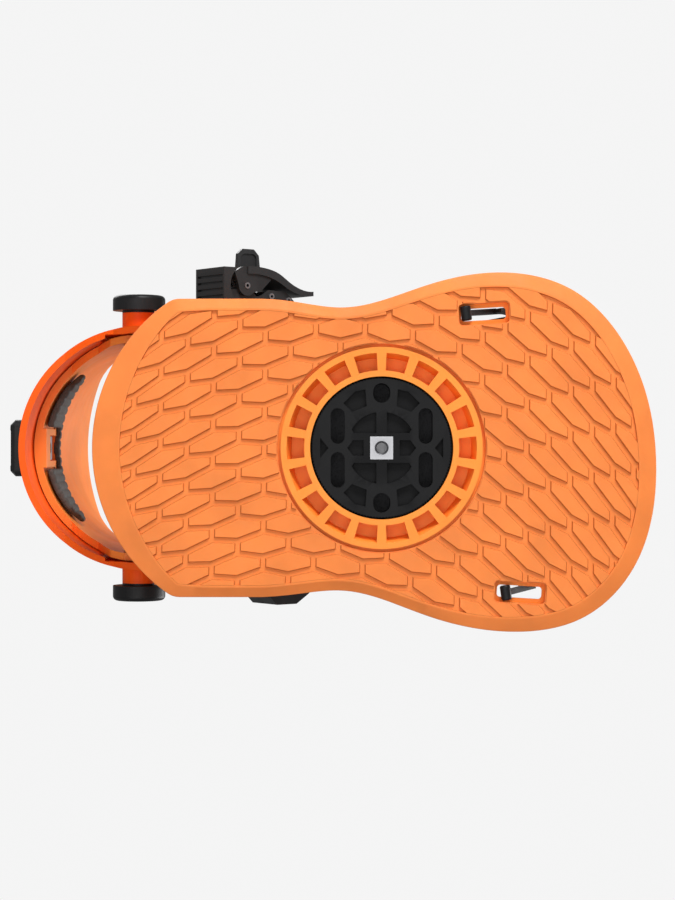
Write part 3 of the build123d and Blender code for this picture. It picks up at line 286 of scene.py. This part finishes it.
looks = {
    "orange_nylon": moulded("orange_nylon", (255, 146, 54), 0.46, soft=0.12, shine=0.25),
    "orange_hoop": moulded("orange_hoop", (255, 92, 2), 0.46, soft=0.12, shine=0.15),
    "orange_highback": moulded("orange_highback", (255, 138, 52), 0.46, soft=0.12, shine=0.25),
    # the tread's groove=0.6 paints shade onto the walls of its grooves
    "orange_tread": moulded("orange_tread", (243, 135, 62), 0.62, 2400, 0.00003, 0.15, 0.03, groove=0.6),
    "black_disc": moulded("black_disc", (22, 22, 23), 0.5, 2600, 0.00004, shine=0.1),
    "black_nylon": moulded("black_nylon", (25, 25, 26), 0.42, 2600, 0.00003, shine=0.2),
    "black_buckle": moulded("black_buckle", (40, 40, 41), 0.34, 3600, 0.00002),
    "black_shell": moulded("black_shell", (40, 40, 41), 0.55, 2200, 0.00004),
    "strap_foam": woven("strap_foam", (52, 52, 54)),
    "footbed_foam": foam("footbed_foam", (62, 62, 64)),
    "heel_foam": foam("heel_foam", (84, 82, 79), pore=700),
    "black_steel": metal("black_steel", (70, 70, 72), 0.42, 0.25),
    "zinc_steel": metal("zinc_steel", (150, 150, 153), 0.32),
    "thread": moulded("thread", (66, 66, 68), 0.7, 4000, 0.00003),
}
for part in frame["record"]["subparts"]:
    node = nodes[part["node"]]
    node.data.materials.clear()
    node.data.materials.append(looks[part["material_slot"]])


# ---- mesh helpers ----------------------------------------------------------------------------------------
def loops_at(node, height, tolerance=1e-5):
    """The closed outlines of a CAD node's flat faces at that height, longest first."""
    bm = bmesh.new()
    bm.from_mesh(nodes[node].data)
    bmesh.ops.remove_doubles(bm, verts=bm.verts, dist=1e-6)
    flat = {f for f in bm.faces if all(abs(v.co.z - height) < tolerance for v in f.verts)}
    beside = {}
    for edge in bm.edges:
        if sum(f in flat for f in edge.link_faces) == 1:
            a, b = edge.verts
            beside.setdefault(a, []).append(b)
            beside.setdefault(b, []).append(a)
    loops, used = [], set()
    for start in beside:
        if start in used:
            continue
        loop, onward = [], [start]
        while onward:
            here = onward[0]
            used.add(here)
            loop.append((here.co.x, here.co.y))
            onward = [v for v in beside[here] if v not in used]
        loops.append(np.array(loop))
    bm.free()
    loops.sort(key=lambda loop: -np.sum(np.linalg.norm(loop - np.roll(loop, 1, 0), axis=1)))
    return loops


def turns_left(points):
    """Whether the closed outline runs counter-clockwise."""
    after = np.roll(points, -1, 0)
    return np.sum(points[:, 0] * after[:, 1] - after[:, 0] * points[:, 1]) > 0


def distances(path):
    """Each point's distance along the line."""
    return np.concatenate([[0], np.cumsum(np.linalg.norm(np.diff(path, axis=0), axis=1))])


def resample(loop, step):
    """The loop as a counter-clockwise one of points step apart."""
    closed = np.vstack([loop, loop[:1]])
    along = distances(closed)
    at = np.linspace(0, along[-1], int(along[-1] / step), endpoint=False)
    points = np.stack([np.interp(at, along, closed[:, k]) for k in (0, 1)], axis=1)
    return points if turns_left(points) else points[::-1]


def drawn_in(loop, amounts):
    """The counter-clockwise loop moved inwards by an amount, or by one for each point."""
    ahead = np.roll(loop, -1, 0) - np.roll(loop, 1, 0)
    ahead /= np.linalg.norm(ahead, axis=1)[:, None]
    return loop + np.stack([-ahead[:, 1], ahead[:, 0]], axis=1) * np.reshape(amounts, (-1, 1))


def piece(name, bm, slot, body, smooth=None):
    """
    The finished mesh as an object with that slot's material, riding on that body. A body of None makes an
    object that is only joined to or cut from another; smooth is the angle below which edges are smooth.
    """
    mesh = bpy.data.meshes.new(name)
    bm.to_mesh(mesh)
    bm.free()
    obj = bpy.data.objects.new(name, mesh)
    scene.collection.objects.link(obj)
    mesh.materials.append(looks[slot])
    if smooth is not None:
        mesh.shade_smooth()
        mesh.set_sharp_from_angle(angle=radians(smooth))
    if body:
        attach(obj, body)
    return obj


def use(obj, kind, **settings):
    """Adds a modifier to the object and applies it."""
    modifier = obj.modifiers.new(kind.lower(), kind)
    for key, value in settings.items():
        setattr(modifier, key, value)
    bpy.context.view_layer.update()
    shaped = obj.evaluated_get(bpy.context.evaluated_depsgraph_get())
    mesh = bpy.data.meshes.new_from_object(shaped)
    obj.modifiers.clear()
    old = obj.data
    obj.data = mesh
    bpy.data.meshes.remove(old)


def ring_verts(bm, loop, height):
    """New vertices round the loop at that height."""
    return [bm.verts.new((x, y, height)) for x, y in loop]


def wall(bm, low, high):
    """Faces between two closed rings of as many vertices."""
    for k in range(len(low)):
        bm.faces.new((low[k - 1], low[k], high[k], high[k - 1]))


def cover(bm, rings):
    """Flat faces between the rings: an outer one and its holes."""
    sides = [(ring[k - 1], ring[k]) for ring in rings for k in range(len(ring))]
    edges = [bm.edges.get(side) or bm.edges.new(side) for side in sides]
    bmesh.ops.triangle_fill(bm, use_beauty=True, use_dissolve=False, edges=edges)


def mould(outer, holes, low, high):
    """A closed straight-walled solid, used to cut others to its outline."""
    bm = bmesh.new()
    bottoms, tops = [], []
    for loop in [outer, *holes]:
        bottoms.append(ring_verts(bm, loop, low))
        tops.append(ring_verts(bm, loop, high))
        wall(bm, bottoms[-1], tops[-1])
    cover(bm, bottoms)
    cover(bm, tops)
    bmesh.ops.recalc_face_normals(bm, faces=bm.faces)
    return piece("mould", bm, "orange_tread", None)


# ---- hexagon blocks --------------------------------------------------------------------------------------
def tread_spot(a, b):
    """
    Where the tread's lattice point (a, b) lies, in millimetres. u counts rows to the toe and v rows to the
    medial side; the rows bow, because of the terms in u * u.
    """
    u = (a + b) / 2 - 4
    v = (a - b) / 2 - 2
    x = -30.4 + 22.6 * u - 0.2 * v - 0.28 * u * u
    y = -10 - 0.5 * u + 17.7 * v + 1.57 * u * u + 0.5 * u * v
    return x, y


def foam_spot(a, b):
    """Where the footbeds' lattice point (a, b) lies, in millimetres: a regular small hexagon lattice."""
    return 30 + 3.9 * (a + b), 6.755 * (a - b)


def drawn_corners(points, amount):
    """The convex outline's corners after each side moves in by amount."""
    sides = []
    for p, q in zip(points, np.roll(points, -1, 0)):
        run = (q - p) / np.linalg.norm(q - p)
        sides.append((p + np.array([-run[1], run[0]]) * amount, run))
    corners = []
    for (p, r), (q, s) in zip(sides[-1:] + sides, sides):
        share = np.linalg.solve(np.stack([r, -s], axis=1), q - p)[0]
        corners.append(p + r * share)
    return np.array(corners)


def hexagons(name, spot, cells, levels, slot):
    """
    Hexagonal blocks, one for each cell of the lattice that spot gives. levels holds the height of each end
    and the width of the groove between blocks there, in millimetres.
    """
    bm = bmesh.new()
    corners = [(2, 1), (1, 2), (-1, 1), (-2, -1), (-1, -2), (1, -1)]
    for a, b in cells:
        points = np.array([spot(a + p / 3, b + q / 3) for p, q in corners])
        if not turns_left(points):
            points = points[::-1]
        ends = [ring_verts(bm, drawn_corners(points, gap / 2) * MM, height * MM) for height, gap in levels]
        wall(bm, *ends)
        for end in ends:
            bm.faces.new(end)
    bmesh.ops.recalc_face_normals(bm, faces=bm.faces)
    return piece(name, bm, slot, None)


def clip(blocks, tool):
    """Cuts the blocks to what lies inside the tool, which is then thrown away."""
    use(blocks, "BOOLEAN", object=tool, operation="INTERSECT", solver="FAST")
    bpy.data.objects.remove(tool)


def joined(name, parts, slot, bevel, smooth):
    """The parts as one object on the root body, their sharp edges softened by a small bevel."""
    bm = bmesh.new()
    for part in parts:
        bm.from_mesh(part.data)
        bpy.data.objects.remove(part)
    obj = piece(name, bm, slot, "root")
    use(obj, "BEVEL", width=bevel, segments=2, limit_method="ANGLE", angle_limit=radians(50))
    obj.data.shade_smooth()
    obj.data.set_sharp_from_angle(angle=radians(smooth))
    return obj


# ---- sole tread ------------------------------------------------------------------------------------------
def chamfer_widths(outline):
    """Width of the plain chamfered band at each point of the outline: wide at the heel, less at the toe."""
    ahead = np.cos(np.arctan2(outline[:, 1], outline[:, 0]))
    heel_share = np.clip(-ahead * 5 - 4, 0, 1)
    toe_share = np.clip(ahead * 1.2 - 0.2, 0, 1)
    widths = (4.6 + 7.4 * heel_share + 2.8 * toe_share) * MM
    reach = 8
    around = np.concatenate([widths[-reach:], widths, widths[:reach]])
    return np.convolve(around, np.ones(2 * reach + 1) / (2 * reach + 1), "valid")


pad_loops = loops_at("sole_pad", 0.0)
outer = resample(pad_loops[0], 2.0 * MM)
holes = [resample(loop, 1.2 * MM) for loop in pad_loops[1:]]
band = chamfer_widths(outer)

bm = bmesh.new()
rings = [ring_verts(bm, outer, PAD_TOP * MM), ring_verts(bm, outer, 2.4 * MM)]
rings.append(ring_verts(bm, drawn_in(outer, 0.25 * MM), 2.0 * MM))
for shift, height in ((-0.2, 0.06), (0.1, 0.0), (0.8, 0.0), (1.1, CHANNEL)):
    rings.append(ring_verts(bm, drawn_in(outer, band + shift * MM), height * MM))
for upper, lower in zip(rings, rings[1:]):
    wall(bm, lower, upper)
floor_rings, top_rings = [rings[-1]], [rings[0]]
for hole in holes:
    floor_rings.append(ring_verts(bm, hole, CHANNEL * MM))
    top_rings.append(ring_verts(bm, hole, PAD_TOP * MM))
    wall(bm, top_rings[-1], floor_rings[-1])
cover(bm, floor_rings)
cover(bm, top_rings)
bmesh.ops.recalc_face_normals(bm, faces=bm.faces)
tread_body = piece("tread_body", bm, "orange_tread", None)

REACH = 165  # millimetres from the pad's middle to beyond its edge
cells = [(a, b) for a in range(-14, 26) for b in range(-14, 26)]
cells = [c for c in cells if hypot(tread_spot(*c)[0] + 10, tread_spot(*c)[1]) < REACH]
levels = ((0.0, TREAD_GROOVES[0]), (BLOCK_FOOT, TREAD_GROOVES[1]))
blocks = hexagons("blocks", tread_spot, cells, levels, "orange_tread")
wider_holes = [drawn_in(hole, -0.5 * MM) for hole in holes]
clip(blocks, mould(drawn_in(outer, band + 0.9 * MM), wider_holes, -1 * MM, 3 * MM))
sole_tread = joined("sole_tread", [tread_body, blocks], "orange_tread", 0.14 * MM, 12)
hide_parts("sole_pad")


# ---- footbeds --------------------------------------------------------------------------------------------
def footbed(node, top):
    """A moulded foam footbed with a rounded rim and a field of small hexagons, whose top at x is top(x)."""
    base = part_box(node)[0].z
    outline = resample(loops_at(node, base)[0], 2.5 * MM)
    bm = bmesh.new()
    rings = [ring_verts(bm, outline, base)]
    for inset, drop in FOOTBED_RIM:
        loop = drawn_in(outline, inset * MM)
        rings.append([bm.verts.new((x, y, top(x) - drop * MM)) for x, y in loop])
    for lower, upper in zip(rings, rings[1:]):
        wall(bm, lower, upper)
    cover(bm, [rings[0]])
    cover(bm, [rings[-1]])
    bmesh.ops.recalc_face_normals(bm, faces=bm.faces)
    bed = piece(node + "_base", bm, "footbed_foam", None)
    low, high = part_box(node)
    tiles = []
    for a in range(-40, 40):
        for b in range(-40, 40):
            x, y = foam_spot(a, b)
            if low.x < x * MM < high.x and low.y < y * MM < high.y:
                tiles.append((a, b))
    levels = ((-TILE_FOOT, TILE_GROOVES[0]), (0.0, TILE_GROOVES[1]))
    field = hexagons("field", foam_spot, tiles, levels, "footbed_foam")
    clip(field, mould(drawn_in(outline, 4.6 * MM), [], -3 * MM, 3 * MM))
    for vertex in field.data.vertices:
        vertex.co.z += top(vertex.co.x)
    obj = joined(node + "_foam", [bed, field], "footbed_foam", 0.12 * MM, 30)
    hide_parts(node)


for flat_bed in ("footbed_heel", "footbed_middle"):
    footbed(flat_bed, lambda x, level=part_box(flat_bed)[1].z: level)
footbed("footbed_toe", lambda x: np.interp(x / MM, TOE_BED_X, TOE_BED_Z) * MM)


# ---- strap pads ------------------------------------------------------------------------------------------
ARC_POINTS = 14
PATH_STEP = 1.6
SEAM_SHARE = 0.56  # where the lengthwise seams lie, as a share of the pad's half width
SEAM_WIDTH, CHANNEL_WIDTH, SEWN_DEPTH = 1.3, 1.5, 1.5
STITCH_LENGTH, STITCH_PITCH, THREAD_RADIUS = 2.4, 3.6, 0.34


def strap_axes(middle, across, rise):
    """A strap's own frame: its middle, then up the strap, to the medial side, and across its width."""
    across = np.array(across) / np.linalg.norm(across)
    c, s = cos(radians(rise)), sin(radians(rise))
    up = np.array([across[1] * c, -across[0] * c, s])
    return np.array(middle) * MM, up, across, np.cross(up, across)


def rounded(points, bend):
    """The line of points with corners of radius bend, as even points and their distances along it."""
    points = [np.array(p, float) for p in points]
    path = [points[0]]
    for p, q, r in zip(points, points[1:], points[2:]):
        a, b = (p - q) / np.linalg.norm(p - q), (r - q) / np.linalg.norm(r - q)
        half = np.arccos(np.clip(a @ b, -1, 1)) / 2
        centre = q + (a + b) / np.linalg.norm(a + b) * bend / sin(half)
        first, last = q + a * bend / np.tan(half) - centre, q + b * bend / np.tan(half) - centre
        for share in np.linspace(0, 1, ARC_POINTS):
            ray = first * (1 - share) + last * share
            path.append(centre + ray / np.linalg.norm(ray) * bend)
    path.append(points[-1])
    path = np.array(path)
    along = distances(path)
    at = np.linspace(0, along[-1], int(along[-1] / PATH_STEP))
    return np.stack([np.interp(at, along, path[:, k]) for k in (0, 1)], axis=1), at


def along_arch(points, inset):
    """The corners of the open line that runs inset inside the arch of points."""
    path = [np.array(p, float) for p in points]
    runs = [(b - a) / np.linalg.norm(b - a) for a, b in zip(path, path[1:])]
    sides = [np.array([-r[1], r[0]]) for r in runs]
    moved = [path[0] + sides[0] * inset]
    for k in range(1, len(path) - 1):
        both = sides[k - 1] + sides[k]
        moved.append(path[k] + both * inset / (both @ sides[k]))
    return moved + [path[-1] + sides[-1] * inset]


def padded_strap(name, body, axes, arch, bend, half_width, pitch):
    """A crowned pad inside a strap's arch, with two lengthwise seams and sewn channels pitch apart."""
    middle, up, across, out = axes
    path, along = rounded(along_arch(arch, PAD_INSET), bend - PAD_INSET)
    ahead = np.gradient(path, axis=0)
    ahead /= np.linalg.norm(ahead, axis=1)[:, None]
    inward = np.stack([-ahead[:, 1], ahead[:, 0]], axis=1)
    total = along[-1]
    seam = half_width * SEAM_SHARE
    half_thick = STRAP_PAD_THICK / 2

    def spot(k, v, lift):
        """The point lift inside the middle layer at path point k, v across the strap's width."""
        p = path[k] + inward[k] * lift
        return middle + (up * p[0] + across * p[1] + out * v) * MM

    def rounding(k, reach):
        """0 at either end of the path, rising to 1 at reach from it; its root is a quarter circle."""
        end = min(along[k], total - along[k])
        return 1 - max(0.0, 1 - end / reach) ** 2

    def crown(k, share):
        """Height of the pad's inner face above its middle layer, at a share of its half width."""
        v = share * half_width
        between_seams = abs(v) < seam
        rim = sqrt(max(0.0, 1 - abs(share) ** 5))
        tip = sqrt(max(0.0, rounding(k, 7)))
        gap = (along[k] - total / 2 + pitch / 2) % pitch - pitch / 2
        channel = np.exp(-((gap / CHANNEL_WIDTH) ** 2)) * between_seams
        stitch = np.exp(-(((abs(v) - seam) / SEAM_WIDTH) ** 2))
        puff = 1.0 * (1 - abs(share) ** 2) + 0.5 * cos(pi * gap / pitch) ** 2 * between_seams
        return rim * tip * (half_thick + puff - SEWN_DEPTH * max(channel, stitch))

    bm = bmesh.new()
    shares = np.sin(np.linspace(-pi / 2, pi / 2, 41))
    rows = []
    for k in range(len(path)):
        width = half_width * sqrt(max(0.02, 1 - (1 - rounding(k, 16)) * 0.9))
        row = [bm.verts.new(spot(k, share * width, crown(k, share))) for share in shares]
        for share in shares[::-1][1:-1]:
            back = (0.1 - half_thick) * sqrt(max(0.0, 1 - abs(share) ** 8))
            row.append(bm.verts.new(spot(k, share * width, back)))
        rows.append(row)
    for low, high in zip(rows, rows[1:]):
        wall(bm, low, high)
    bm.faces.new(rows[0])
    bm.faces.new(rows[-1])
    bmesh.ops.recalc_face_normals(bm, faces=bm.faces)
    pad = piece(name, bm, "strap_foam", body, 60)
    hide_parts(body + "_pad")

    bm = bmesh.new()
    size = Matrix.Diagonal((THREAD_RADIUS * MM, THREAD_RADIUS * MM, STITCH_LENGTH / 2 * MM, 1))
    for side in (-1, 1):
        for at in np.arange(12, total - 12, STITCH_PITCH):
            k = int(np.searchsorted(along, at))
            here, onward = (spot(j, side * seam, crown(j, side * SEAM_SHARE) + 0.1) for j in (k, k + 1))
            run = Vector(onward - here).normalized()
            turn = Vector((0, 0, 1)).rotation_difference(run).to_matrix().to_4x4()
            shape = Matrix.Translation(Vector(here)) @ turn @ size
            bmesh.ops.create_uvsphere(bm, u_segments=8, v_segments=6, radius=1, matrix=shape)
    thread = piece(name + "_stitches", bm, "strap_foam", body, 80)
    thread.data.materials[0] = looks["thread"]


ankle_axes = strap_axes(ANKLE_ANCHOR, (0, 1, 0), ANKLE_RISE)
padded_strap("ankle_pad", "ankle_strap", ankle_axes, ANKLE_ARCH, ANKLE_BEND, ANKLE_PAD_HALF, 21)
lateral, medial = np.array([*LATERAL_BAR, BAR_Z]), np.array([*MEDIAL_BAR, BAR_Z])
toe_axes = strap_axes((lateral + medial) / 2, medial - lateral, TOE_RISE)
padded_strap("toe_pad", "toe_strap", toe_axes, TOE_ARCH, TOE_BEND, TOE_PAD_HALF, 17)

# ---- heel pad --------------------------------------------------------------------------------------------
RIBS = 34  # ribs to a full turn about the highback's axis
RIB_DEPTH = 0.6
FRONT_FACE = 47.2  # the pad's ribbed face is nearer to the axis than this
heel_pad = bpy.data.objects.new("heel_pad", nodes["highback_heel_pad"].data.copy())
scene.collection.objects.link(heel_pad)
use(heel_pad, "REMESH", mode="VOXEL", voxel_size=0.9 * MM)
use(heel_pad, "SMOOTH", factor=0.5, iterations=5)
for vertex in heel_pad.data.vertices:
    ray = Vector((vertex.co.x - PIVOT_X * MM, vertex.co.y, 0))
    if ray.length < FRONT_FACE * MM:
        groove = cos(atan2(ray.y, -ray.x) * RIBS) ** 8
        vertex.co += ray.normalized() * RIB_DEPTH * MM * groove
heel_pad.data.materials.clear()
heel_pad.data.materials.append(looks["heel_foam"])
heel_pad.data.shade_smooth()
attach(heel_pad, "highback")
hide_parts("highback_heel_pad")


# ---- floor -----------------------------------------------------------------------------------------------
# Seen from above only, so that the camera below looks through it at the sole.
bm = bmesh.new()
bmesh.ops.create_grid(bm, x_segments=1, y_segments=1, size=6)
mesh = bpy.data.meshes.new("floor")
bm.to_mesh(mesh)
bm.free()
floor = bpy.data.objects.new("floor", mesh)
floor.location.z = -0.5 * MM
scene.collection.objects.link(floor)
m = Nodes("floor")
m.put(m.shader.inputs["Base Color"], m.blend(m.noise(3, 2), rgba((236, 236, 235)), rgba((244, 244, 243))))
m.shader.inputs["Roughness"].default_value = 0.9
either = m.add("MixShader")
m.put(either.inputs[0], m.add("NewGeometry").outputs["Backfacing"])
m.put(either.inputs[1], m.shader.outputs["BSDF"])
m.put(either.inputs[2], m.add("BsdfTransparent").outputs["BSDF"])
m.put(m.tree.nodes["Material Output"].inputs["Surface"], either.outputs["Shader"])
mesh.materials.append(m.material)
for ray_kind in ("shadow", "diffuse", "glossy", "transmission"):
    setattr(floor, "visible_" + ray_kind, False)
